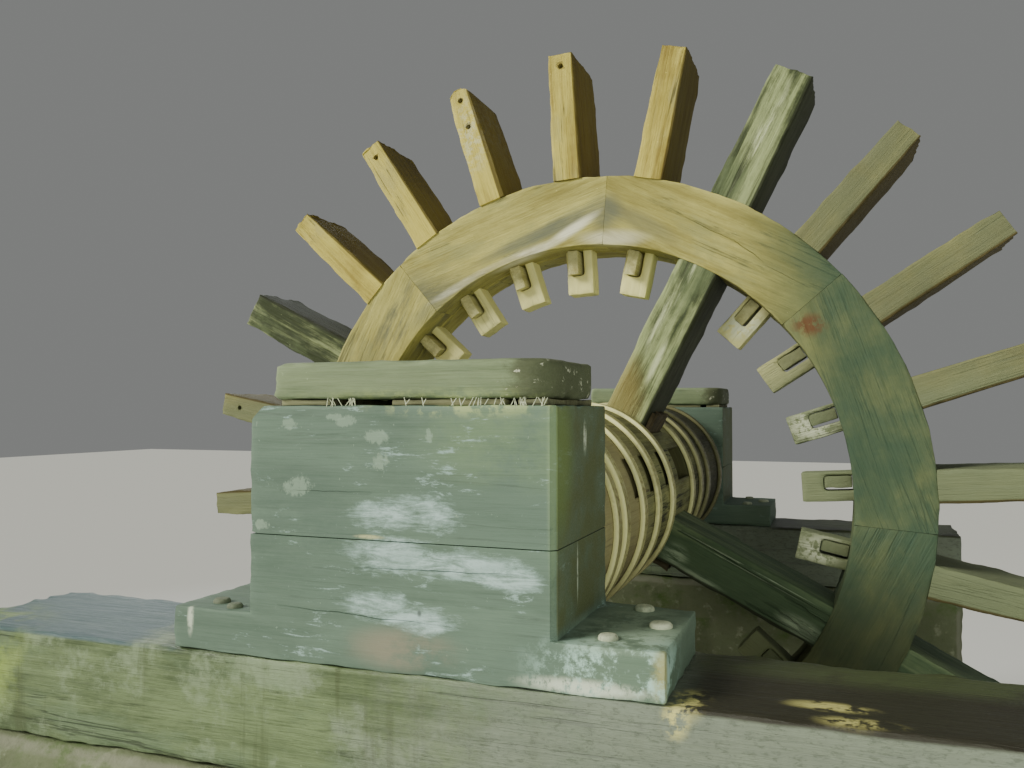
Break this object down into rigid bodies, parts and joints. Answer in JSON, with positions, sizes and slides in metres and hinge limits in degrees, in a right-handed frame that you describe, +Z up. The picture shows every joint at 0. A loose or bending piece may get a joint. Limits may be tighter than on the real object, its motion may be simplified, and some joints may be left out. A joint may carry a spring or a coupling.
{
  "type": "water wheel",
  "caption": "Undershot timber water wheel with pegged float boards, crossed through-arms and a hooped axle turning in stacked bearing blocks on sills and masonry walls.",
  "frame": {"origin": "on the ground under the middle of the wheel", "axes": "+X to the right seen from the near bearing, +Y along the axle to the far bearing, +Z up"},
  "size_m": [3.1004, 2.98, 3.1702],
  "materials": {
    "masonry": "rough damp rubble with moss in its joints",
    "sill_oak": "wet weathered timber, green and dark brown",
    "block_oak": "weathered grey-green timber with pale scuffs",
    "packing_wood": "dry split strips",
    "axle_oak": "dark damp timber",
    "pin_iron": "greased iron",
    "hoop_iron": "iron with a tan rust film, rubbed bright along its edges",
    "rim_oak": "weathered oak, warm tan to grey-green",
    "arm_oak": "weathered oak, grey-green with pale grain",
    "float_oak": "weathered oak, sawn faces, tan",
    "key_oak": "pale split oak"
  },
  "bodies": {
    "bearings": {"near_wall": "masonry", "far_wall": "masonry", "near_sill": "sill_oak", "far_sill": "sill_oak", "near_foot": "block_oak", "far_foot": "block_oak", "near_lower_block": "block_oak", "near_upper_block": "block_oak", "far_lower_block": "block_oak", "far_upper_block": "block_oak", "near_packing": "packing_wood", "far_packing": "packing_wood", "near_cap": "block_oak", "far_cap": "block_oak"},
    "wheel": {"axle": "axle_oak", "near_gudgeon": "pin_iron", "far_gudgeon": "pin_iron", "near_hoops": "hoop_iron", "far_hoops": "hoop_iron", "rising_arm": "arm_oak", "falling_arm": "arm_oak", "arm_wedges": "key_oak", "front_felloes_a": "rim_oak", "front_felloes_b": "rim_oak", "back_felloes_a": "rim_oak", "back_felloes_b": "rim_oak", "floats_right": "float_oak", "floats_bottom": "float_oak", "floats_left": "float_oak", "floats_top": "float_oak", "keys_right": "key_oak", "keys_bottom": "key_oak", "keys_left": "key_oak", "keys_top": "key_oak"}
  },
  "joints": [
    {"name": "wheel_spin", "type": "hinge", "parent": "bearings", "child": "wheel", "pos_m": [0, 0, 1.62], "axis": [0, 1, 0], "continuous": true}
  ]
}
